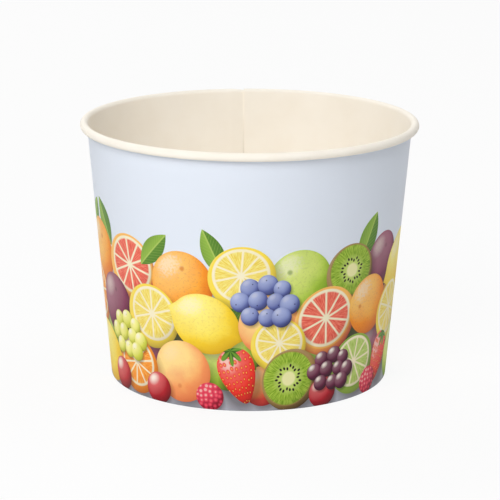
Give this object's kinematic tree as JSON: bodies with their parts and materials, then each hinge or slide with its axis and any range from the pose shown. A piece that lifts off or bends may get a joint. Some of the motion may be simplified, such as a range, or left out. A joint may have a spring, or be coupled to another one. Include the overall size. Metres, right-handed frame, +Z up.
{
  "type": "paper dessert cup",
  "caption": "Tall conical paperboard cup for ice cream or frozen dessert, with a rolled rim, a lapped side seam and a recessed bottom.",
  "frame": {"origin": "on the cup's axis, in the plane that its foot stands on", "axes": "+Z up along the cup's axis, -Y towards the front, +Y towards the side seam at the back"},
  "size_m": [0.098, 0.098, 0.0755],
  "materials": {
    "sidewall_board": "printed outside in full colour on a pale blue ground, satin; cream coated board inside and on the rolled rim",
    "bottom_board": "cream coated board, satin"
  },
  "bodies": {
    "root": {"sidewall": "sidewall_board", "bottom": "bottom_board"}
  },
  "joints": []
}
